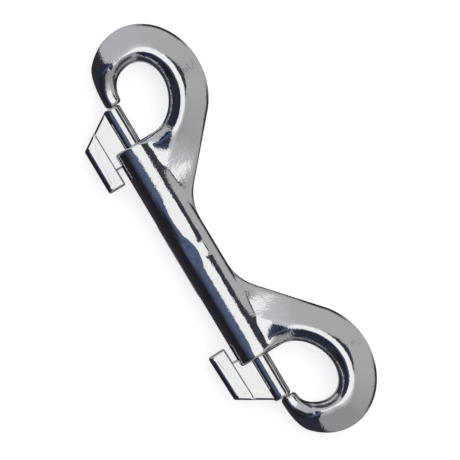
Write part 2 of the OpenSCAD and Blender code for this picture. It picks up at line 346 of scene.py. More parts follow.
def flank_fall(x, y):
    """Fall of the flank, in height for each step inwards: steep round the loop, less and less
    down the neck, then steep again where it leans on the barrel's back."""
    along = fall_loop + (fall_foot - fall_loop) * ramp(down_neck(x, y), *FALL_LESSENS)
    steeper = 1 + TIP_GAIN * (1 - ramp(y, *TIP_STEEPENS)) * (x > LOOP_X)
    return along * steeper + fall_middle * (1 - ramp(x, *MIDDLE_STEEPENS))


def mouth_shrink(wall):
    """Share that is left of the barrel's radius, where its end is rounded towards the mouth."""
    inside = 1 - np.clip(wall / mouth_round, 0, 1)
    return 1 - mouth_round / barrel_r * (1 - np.sqrt(1 - inside**2))


# %% The height of the skin
def skin_height(x, y, wall, back):
    """Height of the casting's skin over the parting plane, from the distances to wall and back:
    the crest and flank of the hook joined to the barrel's dome. The eye's wall stands upright
    up to a share of that height, its foot, and is rounded above it."""
    down = np.where(x > LOOP_X, NECK_SINKS[0], down_neck(x, y))
    crest = crest_high - neck_sink * ramp(down, *NECK_SINKS)
    crest = crest - (crest_high - neck_sink - valley_high) * ramp(down, *NECK_DIPS)
    shoulder = tip_shoulder * np.maximum(y - TIP_SHOULDER_Y, 0)
    tip_line = tip_high + tip_climb * (x - right_nose) + shoulder
    crest = np.where(x > LOOP_X, soft_min(crest, tip_line, tip_blend), crest)
    flank = edge_half + flank_fall(x, y) * back
    blend = crease_blend + (crest_blend - crease_blend) * ramp(x, *CREST_SOFTENS)
    web = soft_min(crest, flank, blend) * rounded(back, edge_round, 2)
    below = np.where(x <= mouth_x + TOUCH, ramp(y, *WEB_ENDS), 1.0)
    web = web * ramp(x, blend_c[0], WEB_GROWS) * below
    across = np.where(y < 0, y / mouth_shrink(wall), y) / barrel_r
    dome = np.where(x <= mouth_x + TOUCH, barrel_r * np.sqrt(np.clip(1 - across**2, 0, 1)), 0.0)
    top = soft_max(dome, web, barrel_blend * np.clip(back / BLEND_GROWS, LEAST_BLEND, 1))
    foot = EYE_FOOT * np.where(x > LOOP_X, 1.0, ramp(y, *FOOT_RISES))
    return top * (foot + (1 - foot) * rounded(wall, wall_radius(x, y), wall_squareness(x, y)))


# %% [markdown]
# ## The grids of the body
# A grid of points that follows the metal gives clean reflections, so the hook gets stations
# along its curve and rows across it, close together where the section turns fast. The barrel
# gets its own grid, and the two meet along a line on the barrel's side where both have the same
# points and the same height.

# %% Rows across the hook
WALL_ROWS, FLANK_ROWS = 15, 41
ROWS = WALL_ROWS + FLANK_ROWS
END_STATIONS, TIP_STATIONS, LOOP_STATIONS, NECK_STATIONS = 10, 32, 150, 72
SEAM_Y, SEAM_RUN = 2.6, 4.0
# The wall's rows take at most this share of the width. The lines of the tip leave its end and
# arrive at the loop with these pulls
WIDEST_WALL, INNER_PULL, OUTER_PULL, NUDGE = 0.45, 1.8, 3.0, 0.001
CREST_GROWS, TRUE_GAPS_FROM = (0.25, 1.0), 0.375


def rows_across(width, radius, squareness):
    """Shares of the width at which the rows lie: by equal turns of the rounded wall, then
    closing up again towards the thin edge."""
    turn = np.linspace(0, math.pi / 2, WALL_ROWS + 1)
    wall = radius[:, None] * (1 - np.cos(turn)[None, :] ** (2 / squareness[:, None]))
    rest = np.sin(np.linspace(0, math.pi / 2, FLANK_ROWS + 1))[1:]
    share = np.minimum(wall / width[:, None], WIDEST_WALL)
    return np.concatenate([share, share[:, -1:] + (1 - share[:, -1:]) * rest[None, :]], axis=1)


def curve(p0, p1, p2, p3, f):
    """A cubic curve from p0 to p3 that leaves towards p1 and arrives from p2."""
    f = f[:, None]
    return (1 - f) ** 3 * p0 + 3 * f * (1 - f) ** 2 * p1 + 3 * f * f * (1 - f) * p2 + f**3 * p3


def along_path(pieces, count):
    """Points at equal steps of length along joined pieces of line."""
    path = np.concatenate(pieces)
    step = np.r_[0, np.cumsum(np.linalg.norm(np.diff(path, axis=0), axis=1))]
    want = np.linspace(0, step[-1], count)
    return np.stack([np.interp(want, step, path[:, i]) for i in range(2)], -1)


def seam_y(x):
    """Height of the joining line above the barrel's axis: level, then up to the barrel's back."""
    rise = 1 - np.clip((x - blend_c[0]) / SEAM_RUN, 0, 1)
    return SEAM_Y + (barrel_r - SEAM_Y) * rise * rise


# %% Stations along the hook
def hook_stations(gate):
    """Inner and outer line of a hook whose tip stands gate from the mouth, with for each
    station how far its section has turned from round to crested, 0 to 1."""
    turn = np.linspace(0, math.pi / 2, END_STATIONS // 2 + 1)
    flat = np.linspace(0, tip_r - tip_round, END_STATIONS // 2 + 1)[:-1]
    half = np.r_[flat, tip_r - tip_round * (1 - np.sin(turn))]
    end_x = mouth_x + gate + np.r_[np.zeros(len(flat)), tip_round * (1 - np.cos(turn))]
    end_in = np.stack([end_x, tip_rise + half], -1)
    end_out = np.stack([end_x, tip_rise - half], -1)

    def heading(oval, t):
        step = oval_at(oval, np.array(t + NUDGE)) - oval_at(oval, np.array(t))
        return step / np.linalg.norm(step)

    f = np.linspace(0, 1, TIP_STATIONS + 1)[1:]
    inner_to, outer_to = oval_at(eye, np.array(eye_close)), oval_at(hook, np.array(hook_close))
    inner_from, outer_from = end_in[-1], end_out[-1]
    inner_by, outer_by = INNER_PULL * heading(eye, eye_close), OUTER_PULL * heading(hook, hook_close)
    tip_in = curve(inner_from, inner_from + [INNER_PULL, 0], inner_to - inner_by, inner_to, f)
    tip_out = curve(outer_from, outer_from + [OUTER_PULL, 0], outer_to - outer_by, outer_to, f)
    f = np.linspace(0, 1, LOOP_STATIONS + 1)[1:]
    loop_in = oval_at(eye, eye_close + (eye_neck - eye_close) * f)
    loop_out = oval_at(hook, hook_close + (hook_neck - hook_close) * f)
    travel = np.r_[np.zeros(len(half)), np.linspace(0, 1, TIP_STATIONS + 1)[1:], 1 + f]
    inner = np.concatenate([end_in, tip_in, loop_in])
    outer = np.concatenate([end_out, tip_out, loop_out])
    return inner, outer, ramp(travel, *CREST_GROWS)


def neck_lines():
    """Inner and outer line of the neck, from the loop down to the joining line."""
    many = np.linspace(0, 1, 400)[:, None]
    foot = np.array([mouth_x, SEAM_Y])
    wall = oval_at(eye, eye_neck + (eye_mouth - eye_neck) * many[:, 0])
    inner = along_path([wall, wall[-1] + (foot - wall[-1]) * many[1:]], NECK_STATIONS + 1)
    oval = oval_at(hook, hook_neck + (hook_back - hook_neck) * many[:, 0])
    line = back_start + (back_end - back_start) * many[1:]
    angle = neck_slope * (1 - many[1:, 0])
    arc = blend_c + neck_round * np.stack([np.sin(angle), -np.cos(angle)], -1)
    return inner[1:], along_path([oval, line, arc], NECK_STATIONS + 1)[1:]


# %% The hook's grid
def hook_grid(gate):
    """Points of the hook's upper skin. In plan, station lines run straight from wall to edge and
    bend towards the joining line down the neck; the height is round at the tip and crested
    further on."""
    inner, outer, crested = hook_stations(gate)
    neck_in, neck_out = neck_lines()
    loops = len(inner)
    inner, outer = np.concatenate([inner, neck_in]), np.concatenate([outer, neck_out])
    crested = np.r_[crested, np.ones(len(neck_in))][:, None]
    bend = np.r_[np.zeros(loops), np.linspace(0, 1, NECK_STATIONS + 1)[1:]][:, None]

    width = np.linalg.norm(outer - inner, axis=1)
    radius = wall_radius(inner[:, 0], inner[:, 1])
    squareness = wall_squareness(inner[:, 0], inner[:, 1])
    round_rows = (1 - np.cos(np.linspace(0, math.pi, ROWS + 1)))[None, :] / 2
    crest_rows = rows_across(np.maximum(width, 1e-6), radius, squareness)
    rows = round_rows + (crest_rows - round_rows) * crested

    x = inner[:, :1] + (outer - inner)[:, :1] * rows
    y = inner[:, 1:] + (outer - inner)[:, 1:] * rows
    seam_x = mouth_x - rows * (mouth_x - blend_c[0])
    y = y + bend * (seam_y(seam_x) - (SEAM_Y + rows * (barrel_r - SEAM_Y)))

    true_gaps = np.clip((crested - TRUE_GAPS_FROM) / (1 - TRUE_GAPS_FROM), 0, 1)
    wall = width[:, None] * rows * (1 - true_gaps) + np.maximum(wall_gap(x, y), 0) * true_gaps
    back = width[:, None] * (1 - rows) * (1 - true_gaps)
    back = back + np.maximum(back_gap(x, y), 0) * true_gaps
    aside = np.where(rows < TIP_CREST, 1 - rows / TIP_CREST, (rows - TIP_CREST) / (1 - TIP_CREST))
    bulge = np.where(rows < TIP_CREST, TIP_INSIDE, TIP_OUTSIDE)
    round_height = width[:, None] / 2 * (1 - aside**bulge) ** (1 / bulge)
    height = round_height + (skin_height(x, y, wall, back) - round_height) * crested
    height[:, [0, -1]] = 0
    return np.stack([x, y, height], -1)


right_hook = hook_grid(right_nose + nose_gap - mouth_x)
left_hook = hook_grid(left_nose + nose_gap - mouth_x) * np.array([-1, 1, 1])
plan = right_hook[..., :2]
cell = -np.cross(plan[1:, :-1] - plan[:-1, :-1], plan[:-1, 1:] - plan[:-1, :-1])
print(f"plan cells measure {cell.min():.4f} to {cell.max():.4f} square mm")
print(f"{np.sum(cell < 0)} of them are folded over")

# %% The barrel's grid
BARREL_ROWS, MIDDLE_STATIONS = 60, 60
# The barrel's crown wanders sideways here and there: place, half length and shift
CROWN_SHIFTS = [(-9.5, 7.0, -1.15), (0.3, 5.0, 1.1), (29.5, 3.0, -0.5), (-29.5, 3.0, -0.4)]
CROWN_Y, CROWN_HALF = -0.2, 2.2
MARK_X, MARK_HALF, MARK_Y, MARK_WIDE, MARK_SHIFT = 0.5, 2.1, 2.7, 1.1, 0.75


def swell(t):
    """1 at the middle and 0 past 1 to either side, smooth: the square of one less t squared."""
    return np.clip(1 - t * t, 0, 1) ** 2


def crown_shift(x, y):
    """How far the barrel's crown is moved, towards the hooks' backs, at each point. The small
    flat where the casting was broken off its runner moves it too, with sudden ends."""
    along = sum(shift * swell((x - place) / half) for place, half, shift in CROWN_SHIFTS)
    mark = swell(np.abs((x - MARK_X) / MARK_HALF) ** 3) * swell((y - MARK_Y) / MARK_WIDE)
    return along * swell((y - CROWN_Y) / CROWN_HALF) + MARK_SHIFT * mark


def barrel_grid():
    """Points of the barrel's upper skin: stations at the x of the hooks' last rows and evenly
    between them, rows by equal turns about the axis from the front round to the joining line."""
    right = right_hook[-1, :, 0]
    middle = np.linspace(blend_c[0], -blend_c[0], MIDDLE_STATIONS + 1)[1:-1]
    x = np.r_[right, middle, -right[::-1]][:, None]
    wall = mouth_x - np.abs(x)
    top = np.where(np.abs(x) > blend_c[0], seam_y(np.abs(x)), barrel_r)
    turn = np.linspace(0, 1, BARREL_ROWS + 1)[None, :]
    last = np.arcsin(np.clip(top / barrel_r, -1, 1))
    side = np.sin(-math.pi / 2 + turn * (math.pi / 2 + last))
    y = barrel_r * side * np.where(side < 0, mouth_shrink(wall), 1)
    x = np.broadcast_to(x, y.shape)
    wall = np.broadcast_to(wall, y.shape)
    moved = y - crown_shift(x, y)
    height = skin_height(np.abs(x), moved, wall, np.maximum(back_gap(np.abs(x), y), 0))
    height[:, 0] = 0
    height[np.abs(x[:, -1]) <= blend_c[0], -1] = 0
    height[[0, -1]] = 0
    return np.stack([x, y, height], -1)


barrel = barrel_grid()
DOWN = np.array([1, 1, -1])
skins = [right_hook, left_hook, barrel]
body = object_of("cast_body", [skin * side for skin in skins for side in (1, DOWN)])

# %% [markdown]
# ## Bores and slots
# The bore and the slot at each end are made by side cores that are drawn out of the mould along
# the barrel and across it. Here they are solids too, taken away by a Boolean modifier that is
# applied at once.

# %% Sizes of the bores
bore_r, bore_depth, bore_flare = 2.48, 23.4, 0.35
slot_half, slot_len, CUT_PAST = 1.55, 21.4, 1.0


def turned_grid(stations, radii, steps=72):
    """A profile carried round the X axis: each radius is swung through a full turn."""
    angle = np.linspace(0, 2 * math.pi, steps + 1)
    angle[-1] = 0
    stations, radii = np.asarray(stations, float)[:, None], np.asarray(radii, float)[:, None]
    return np.stack([stations + 0 * angle, radii * np.cos(angle), radii * np.sin(angle)], -1)


def apply_boolean(target, tool, operation):
    """Joins or cuts target with tool and removes the tool."""
    step = target.modifiers.new("shape", "BOOLEAN")
    step.operation = operation
    step.solver = "MANIFOLD"
    step.object = tool
    graph = bpy.context.evaluated_depsgraph_get()
    made = bpy.data.meshes.new_from_object(target.evaluated_get(graph))
    target.modifiers.clear()
    target.data = made
    bpy.data.objects.remove(tool)
    return target


def slot_grid():
    """A slot's solid: its outline in X and Z, half round at the inner end, carried along Y."""
    turn = np.linspace(math.pi / 2, 3 * math.pi / 2, 25)
    inner_end = mouth_x - slot_len + slot_half
    x = np.r_[mouth_x + CUT_PAST, inner_end + slot_half * np.cos(turn), mouth_x + CUT_PAST]
    z = np.r_[slot_half, slot_half * np.sin(turn), -slot_half]
    x, z = np.r_[x, x[0]], np.r_[z, z[0]]
    middle = (inner_end + mouth_x) / 2
    levels = []
    for y, size in ((0, 0), (0, 1), (-barrel_r - CUT_PAST, 1), (-barrel_r - CUT_PAST, 0)):
        levels.append(np.stack([middle + (x - middle) * size, 0 * x + y, z * size], -1))
    return np.array(levels)


# %% Cut the bores and slots
for side in (1, -1):
    flip = np.array([side, 1, 1])
    foot = mouth_x - bore_depth
    stations = [foot, foot, mouth_x - bore_flare, mouth_x + bore_flare, mouth_x + bore_flare]
    radii = [0, bore_r, bore_r, bore_r + 2 * bore_flare, 0]
    way = object_of("way", [turned_grid(stations, radii) * flip])
    way = apply_boolean(way, object_of("slot", [slot_grid() * flip]), "UNION")
    apply_boolean(body, way, "DIFFERENCE")
body.data.name = "cast_body"
print(f"cast body: {len(body.data.polygons)} faces after cutting")


def smooth_but_edges(thing, angle=35):
    """Shades faces smoothly, and keeps edges sharp where faces meet at more than the angle."""
    thing.data.shade_smooth()
    thing.data.set_sharp_from_angle(angle=math.radians(angle))


smooth_but_edges(body)
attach(body, "body")
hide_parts("body")

# %% [markdown]
# ## The bolts
# Each bolt is one casting: a round rod, a thin web below it that comes out through the slot, and
# a thicker pad for the thumb. The rod is a profile turned about its axis. Web and pad are
# plates: an outline lifted to both sides, with its edge rounded as it comes out of the tumbling
# barrel. The three are joined into one solid.

# %% Sizes of a bolt, in millimetres, with its nose at the origin and the rod towards -X
bolt_r, bolt_len = 2.4, 17.2
nose_round, rear_round = 0.8, 0.4
ring_first, ring_last, RINGS = -1.5, -16, 30
web_half, web_front, web_rear = 1.2, -0.35, -14.2
web_top, web_brow, web_low, web_foot = -1.2, -2.25, -7.1, -3.5
pad_half, pad_top, pad_low = 2.5, -6.5, -11.1
pad_front, pad_toe, pad_rear = -3.1, -6.1, -18.3
WEB_ROUNDS, PAD_ROUNDS = [0.2, 1.0, 0.2, 0.2, 0.2], [0.3, 0.7, 0.55, 0.55]
# Width of each rim's rounding in plan and its depth. The pad's are wider at the thumb's edge and
# shallower at the top, and change over these shares of the pad's height: start and run
web_edge, web_drop = 0.50, 0.9
pad_edge, pad_edge_low, EDGE_WIDENS = 0.52, 1.25, (0.82, 0.16)
pad_drop_top, pad_drop, DROP_GROWS = 0.30, 1.15, (0.0, 0.12)
RIM_SQUARENESS = 1.5
# The spine ends this many half heights behind a plate's front, and these shares of the way out
# from it carry rows on the plate's face
SPINE_SHORT, FACE_ROWS = 1.6, (0.96, 0.5)


# %% Outlines with rounded corners
def with_sides(outline, step=0.8):
    """The outline with points added on its straight sides, so that none are further apart."""
    ends = np.roll(outline, -1, 0)
    counts = np.maximum(np.ceil(np.linalg.norm(ends - outline, axis=1) / step).astype(int), 1)
    sides = []
    for start, end, count in zip(outline, ends, counts):
        share = np.linspace(0, 1, count, endpoint=False)[:, None]
        sides.append(start + (end - start) * share)
    return np.concatenate(sides)


def rounded_outline(corners, radii, steps=7):
    """An outline with its corners rounded: each corner is replaced by an arc that touches both
    of its sides, as points in order round the outline."""
    corners = np.asarray(corners, float)
    points = []
    for i, (corner, radius) in enumerate(zip(corners, radii)):
        into = corners[i - 1] - corner
        out = corners[(i + 1) % len(corners)] - corner
        into, out = into / np.linalg.norm(into), out / np.linalg.norm(out)
        half = math.acos(np.clip(into @ out, -1, 1)) / 2
        middle = corner + (into + out) / np.linalg.norm(into + out) * radius / math.sin(half)
        start = corner + into * radius / math.tan(half) - middle
        end = corner + out * radius / math.tan(half) - middle
        aside = np.array([-start[1], start[0]])
        angle = np.linspace(0, math.atan2(aside @ end, start @ end), steps)[:, None]
        points.append(middle + (start * np.cos(angle) + aside * np.sin(angle)))
    return with_sides(np.concatenate(points))


# %% A plate with rounded edges
def plate_grid(outline, half, edge, drop, steps=8):
    """A plate with rounded edges. Rows climb from the middle of the lower face out to its rim,
    round the edge and back over the upper face. Edge is the rounding's width at each point of
    the outline, and drop its depth. A row is the outline drawn towards the plate's spine, by
    the share that brings each side in by as much as the rounding asks."""
    along = np.roll(outline, -1, 0) - np.roll(outline, 1, 0)
    inward = np.stack([-along[:, 1], along[:, 0]], -1)
    inward /= np.linalg.norm(inward, axis=1)[:, None]
    following = np.roll(outline, -1, 0)
    area = np.sum(outline[:, 0] * following[:, 1] - following[:, 0] * outline[:, 1])
    inward *= math.copysign(1, area)
    edge, drop = (np.broadcast_to(value, len(outline))[:, None] for value in (edge, drop))
    centre = (outline.max(0) + outline.min(0)) / 2
    deep = (outline[:, 1].max() - outline[:, 1].min()) / 2
    ends = outline[:, 0].min() + deep, outline[:, 0].max() - SPINE_SHORT * deep
    spine = np.stack([np.clip(outline[:, 0], *ends), 0 * outline[:, 0] + centre[1]], -1)
    share_in = edge / np.sum((spine - outline) * inward, axis=1)[:, None]
    rows = []
    for angle in np.linspace(0, math.pi / 2, steps):
        inwards = 1 - max(math.cos(angle), 0) ** (2 / RIM_SQUARENESS)
        flat = outline + (spine - outline) * share_in * inwards
        rise = half - drop * (1 - math.sin(angle) ** (2 / RIM_SQUARENESS))
        rows.append(np.concatenate([flat, rise], 1))
    rim, top = rows[-1][:, :2], rows[-1][:, 2:]
    for share in FACE_ROWS:
        rows.append(np.concatenate([spine + (rim - spine) * share, top], 1))
    rows.append(np.concatenate([0 * outline + centre, top], 1))
    upper = np.array(rows)
    whole = np.concatenate([upper[::-1] * DOWN, upper])
    return np.concatenate([whole, whole[:, :1]], 1)


# %% Rod, web and pad
def placed(points, side, nose, askew=0.0):
    """Points turned by askew about the rod's rear end, with the nose moved out to its place, on
    the right side or the left."""
    x, y = points[..., 0] + bolt_len, points[..., 1]
    turned_x = x * math.cos(askew) - y * math.sin(askew) - bolt_len + nose
    turned_y = x * math.sin(askew) + y * math.cos(askew)
    return np.stack([side * turned_x, turned_y, points[..., 2]], -1)


def rod_grid():
    """The rod: a profile with its nose and rear edge rounded by quarter circles, turned."""
    turn = np.linspace(0, math.pi / 2, 10)
    back, down = 1 - np.sin(turn), 1 - np.cos(turn)
    straight = np.linspace(ring_first, ring_last, RINGS)
    stations = np.r_[0, -nose_round * back[::-1], straight, rear_round * back - bolt_len, -bolt_len]
    nose_radii, rear_radii = bolt_r - nose_round * down, bolt_r - rear_round * down
    radii = np.r_[0, nose_radii[::-1], 0 * straight + bolt_r, rear_radii, 0]
    return turned_grid(stations, radii)


def web_grid():
    """The web: a plate that runs from the rod's underside down to the pad, its front sloping."""
    high = [(web_front, web_top), (web_front, web_brow)]
    corners = [*high, (web_foot, web_low), (web_rear, web_low), (web_rear, web_top)]
    outline = rounded_outline(corners, WEB_ROUNDS)
    return plate_grid(outline, web_half, web_edge, web_drop)


def pad_grid():
    """The pad: a thicker plate with a sloping front. Its rim is rounded widely along the edge
    that the thumb pushes, and little along the top, where it meets the web."""
    front = [(pad_front, pad_top), (pad_toe, pad_low)]
    corners = [*front, (pad_rear, pad_low), (pad_rear, pad_top)]
    outline = rounded_outline(corners, PAD_ROUNDS, steps=9)
    low = np.clip((pad_top - outline[:, 1]) / (pad_top - pad_low), 0, 1)
    edge = pad_edge + (pad_edge_low - pad_edge) * ramp(low, *EDGE_WIDENS)
    drop = pad_drop_top + (pad_drop - pad_drop_top) * ramp(low, *DROP_GROWS)
    return plate_grid(outline, pad_half, edge, drop)


def bolt_object(name, side, nose, askew=0.0):
    """Rod, web and pad, joined. The rod lies true in its bore, and web and pad may be askew."""
    rod = object_of(name, [placed(rod_grid(), side, nose)])
    web = object_of("web", [placed(web_grid(), side, nose, askew)])
    pad = object_of("pad", [placed(pad_grid(), side, nose, askew)])
    apply_boolean(rod, web, "UNION")
    apply_boolean(rod, pad, "UNION")
    rod.data.name = name
    smooth_but_edges(rod)
    print(f"{name}: {len(rod.data.polygons)} faces")
    return rod


# %% Make both bolts
# The right latch stands a little askew on its rod
ASKEW = math.radians(1.6)
right_bolt = bolt_object("right_bolt_casting", 1, right_nose, ASKEW)
left_bolt = bolt_object("left_bolt_casting", -1, left_nose)
for piece, name in ((right_bolt, "right_bolt"), (left_bolt, "left_bolt")):
    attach(piece, name)
    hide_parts(name)

# %% [markdown]
# ## The springs
# Behind each bolt a coil of spring wire pushes it shut. A coil is a circle carried along a
# helix; its end turns lie close together so that it stands square. The real spring shortens as
# the bolt is drawn back; here the coil is fixed to the body and keeps its length.

# %% Wind the springs
wire_r = 0.275
coil_turns, closed_turns = 8, 1.0
# Pitch of the closed turns, in wire thicknesses
CLOSED_PITCH = 1.02
COIL_STEPS, WIRE_STEPS = 48, 12


def spring_grid(start, end, coil_r):
    """A tube round a helix. Away from the middle the pitch eases down to one wire a turn."""
    turns = np.linspace(0, coil_turns, coil_turns * COIL_STEPS + 1)
    closed = 2 * wire_r * CLOSED_PITCH * closed_turns
    free = (end - start) - 2 * closed - 2 * wire_r
    middle = np.clip((turns - closed_turns) / (coil_turns - 2 * closed_turns), 0, 1)
    ends = np.minimum(turns, closed_turns) + np.maximum(turns - coil_turns + closed_turns, 0)
    x = start + wire_r + ends / closed_turns * closed + free * middle
    angle = 2 * math.pi * turns
    centre = np.stack([x, coil_r * np.cos(angle), coil_r * np.sin(angle)], -1)
    along = np.gradient(centre, axis=0)
    along /= np.linalg.norm(along, axis=1)[:, None]
    out = np.stack([0 * x, np.cos(angle), np.sin(angle)], -1)
    out -= np.sum(out * along, 1)[:, None] * along
    out /= np.linalg.norm(out, axis=1)[:, None]
    side = np.cross(along, out)
    swing = np.linspace(0, 2 * math.pi, WIRE_STEPS + 1)
    swing[-1] = 0
    cosine, sine = np.cos(swing)[None, :, None], np.sin(swing)[None, :, None]
    ring = out[:, None] * cosine + side[:, None] * sine
    size = np.r_[0, np.ones(len(x)), 0][:, None, None] * wire_r
    centre = np.concatenate([centre[:1], centre, centre[-1:]])
    ring = np.concatenate([ring[:1], ring, ring[-1:]])
    return centre[:, None] + ring * size


# %% Put a spring behind each bolt
for name, side in (("left_spring", -1), ("right_spring", 1)):
    low, high = (np.array(corner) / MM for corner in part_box(name))
    coil_r = (high[1] - low[1]) / 2 - wire_r
    coil = object_of(f"{name}_wire", [spring_grid(low[0], high[0], coil_r)])
    smooth_but_edges(coil, 60)
    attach(coil, "body")
    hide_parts(name)
    foot = (mouth_x - bore_depth) * side
    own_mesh(coil)

# %% [markdown]
# ## The plating
# The castings are zinc with a bright nickel and chrome plate. Such a plate has almost no
# colour: it is seen only by what it reflects. What tells the eye that it is cast and not turned
# is its skin: the plate follows the faint ripple of the casting and the grain left by tumbling,
# so that reflections have wavering, ragged edges. So the material is a smooth metal with two
# sizes of ripple and a little variation of roughness.


# %% Colours and nodes
def colour(hex_code):
    """sRGB hex digits to the linear colour that Blender works in."""
    parts = [int(hex_code[i : i + 2], 16) / 255 for i in (0, 2, 4)]
    linear = [c / 12.92 if c <= 0.04045 else ((c + 0.055) / 1.055) ** 2.4 for c in parts]
    return (*linear, 1.0)


def add(tree, kind, inputs=None, **settings):
    """Adds one node, sets its settings, and links or sets its inputs by name or number."""
    node = tree.nodes.new(kind)
    for key, value in settings.items():
        setattr(node, key, value)
    for key, value in (inputs or {}).items():
        if isinstance(value, bpy.types.NodeSocket):
            tree.links.new(value, node.inputs[key])
        else:
            node.inputs[key].default_value = value
    return node


def new_material(name):
    """An empty material that uses nodes, and its tree."""
    material = bpy.data.materials.new(name)
    material.use_nodes = True
    material.node_tree.nodes.clear()
    return material, material.node_tree


# %% Bright plated zinc casting
# Size in mm and detail of the casting's ripple, the tumbled grain and the patches that it lies in
RIPPLE, GRAIN, PATCHES = (2.6, 2.0), (0.5, 3.0), (9.0, 1.0)
PATCH_RANGE = {"From Min": 0.4, "From Max": 0.62, "To Min": 0.35, "To Max": 1.0}
ROUGH_RANGE, ROUGHEST = {"From Min": 0.3, "From Max": 0.7}, 1.8


def plated_zinc(name, tint, roughness, ripple, grain):
    """Metal with a slow ripple of the casting and, in patches, a fine tumbled grain. Both
    heights are given in mm. Roughness rises with the grain, up to nearly twice its least."""
    material, tree = new_material(name)
    coords = add(tree, "ShaderNodeTexCoord").outputs["Object"]
    slow, fine, patch = (
        add(tree, "ShaderNodeTexNoise", {"Vector": coords, "Scale": 1 / (size * MM), "Detail": detail})
        for size, detail in (RIPPLE, GRAIN, PATCHES)
    )
    patch = add(tree, "ShaderNodeMapRange", {"Value": patch.outputs["Fac"], **PATCH_RANGE})
    tooth = {0: fine.outputs["Fac"], 1: patch.outputs["Result"]}
    tooth = add(tree, "ShaderNodeMath", tooth, operation="MULTIPLY").outputs[0]
    wave = {"Height": slow.outputs["Fac"], "Distance": ripple * MM, "Strength": 1.0}
    normal = add(tree, "ShaderNodeBump", wave).outputs["Normal"]
    tooth = {"Height": tooth, "Distance": grain * MM, "Strength": 1.0, "Normal": normal}
    normal = add(tree, "ShaderNodeBump", tooth).outputs["Normal"]
    limits = {**ROUGH_RANGE, "To Min": roughness, "To Max": roughness * ROUGHEST}
    rough = add(tree, "ShaderNodeMapRange", {"Value": fine.outputs["Fac"], **limits})
    metal = {"Metallic": 1.0, "Roughness": rough.outputs["Result"], "Normal": normal}
    shader = add(tree, "ShaderNodeBsdfPrincipled", {**metal, "Base Color": colour(tint)})
    add(tree, "ShaderNodeOutputMaterial", {"Surface": shader.outputs["BSDF"]})
    return material


# %% The finishes
CASTING_TINT = "DEDEE0"
casting_finish = plated_zinc("bright_plated_zinc_casting", CASTING_TINT, 0.05, ripple=0.060, grain=0.042)
bolt_finish = plated_zinc("bright_plated_bolt", CASTING_TINT, 0.05, ripple=0.025, grain=0.012)
# The springs' wire is drawn steel, greyer and duller, with no ripple
wire_finish = plated_zinc("spring_steel_wire", "A9A7A4", 0.22, ripple=0.0, grain=0.002)
for piece, finish in ((body, casting_finish), (right_bolt, bolt_finish), (left_bolt, bolt_finish)):
    piece.data.materials.clear()
    piece.data.materials.append(finish)
for name in ("left_spring_wire", "right_spring_wire"):
    bpy.data.objects[name].data.materials.clear()
    bpy.data.objects[name].data.materials.append(wire_finish)

# %% [markdown]
# ## The studio
# Bright metal is lit by what stands round it. From straight above, a mirror whose slope is P
# shows the direction whose sideways part over one plus its upward part is P. So the studio is
# laid out in slopes: a soft box above and a little towards the hooks' backs, a dark screen on
# the latches' side, and grey walls all round. The pale floor is kept out of the reflections, as
# a small turntable is, so that the walls show down to the lowest edges of the metal.

# %% Floor, in metres
FLOOR_SIZE, FLOOR_GLOW = 6.0, 0.72
floor_mesh = bpy.data.meshes.new("floor")
half = FLOOR_SIZE / 2
floor_mesh.from_pydata(
    [(-half, -half, 0), (half, -half, 0), (half, half, 0), (-half, half, 0)], [], [(0, 1, 2, 3)]
)
floor = bpy.data.objects.new("floor", floor_mesh)
bpy.context.scene.collection.objects.link(floor)
floor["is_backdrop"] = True
floor.visible_glossy = False
floor_paint, tree = new_material("lit_white_table")
matt = add(tree, "ShaderNodeBsdfDiffuse", {"Color": colour("E6E6E6")})
glow = add(tree, "ShaderNodeEmission", {"Color": colour("FFFFFF"), "Strength": FLOOR_GLOW})
both = add(tree, "ShaderNodeAddShader", {0: matt.outputs["BSDF"], 1: glow.outputs["Emission"]})
add(tree, "ShaderNodeOutputMaterial", {"Surface": both.outputs["Shader"]})
floor_mesh.materials.append(floor_paint)

# %% The studio, laid out in slopes
# A little over 1, so that straight down divides by no nought
JUST_OVER_ONE = 1.0001
world = bpy.data.worlds.new("studio")
bpy.context.scene.world = world
world.use_nodes = True
tree = world.node_tree
tree.nodes.clear()


def slope_of(degrees):
    """Slope of a surface tilted by this many degrees."""
    return math.tan(math.radians(degrees))


direction = add(tree, "ShaderNodeTexCoord").outputs["Generated"]
parts = add(tree, "ShaderNodeSeparateXYZ", {"Vector": direction}).outputs
above = add(tree, "ShaderNodeMath", {0: parts["Z"], 1: JUST_OVER_ONE}, operation="ADD").outputs[0]
slope_x = add(tree, "ShaderNodeMath", {0: parts["X"], 1: above}, operation="DIVIDE").outputs[0]
slope_y = add(tree, "ShaderNodeMath", {0: parts["Y"], 1: above}, operation="DIVIDE").outputs[0]
slope = add(tree, "ShaderNodeCombineXYZ", {"X": slope_x, "Y": slope_y}).outputs["Vector"]


# %% Cards and shades
def oval_card(centre, radii, softness):
    """1 inside an oval of slopes given in degrees of tilt, 0 outside, with a soft rim."""
    middle = (slope_of(centre[0]), slope_of(centre[1]), 0)
    size = (1 / slope_of(radii[0]), 1 / slope_of(radii[1]), 0)
    shifted = add(tree, "ShaderNodeVectorMath", {0: slope, 1: middle}, operation="SUBTRACT").outputs[0]
    scaled = add(tree, "ShaderNodeVectorMath", {0: shifted, 1: size}, operation="MULTIPLY").outputs[0]
    reach = add(tree, "ShaderNodeVectorMath", {0: scaled}, operation="LENGTH").outputs["Value"]
    limits = {"From Min": 1 - softness, "From Max": 1 + softness, "To Min": 1.0, "To Max": 0.0}
    inputs = {"Value": reach, **limits}
    card = add(tree, "ShaderNodeMapRange", inputs, interpolation_type="SMOOTHSTEP")
    return card.outputs["Result"]


def seen_as(hex_code):
    """The light that a wall must send so that its reflection in the plating shows this colour."""
    return (*(c / m for c, m in zip(colour(hex_code)[:3], colour(CASTING_TINT)[:3])), 1.0)


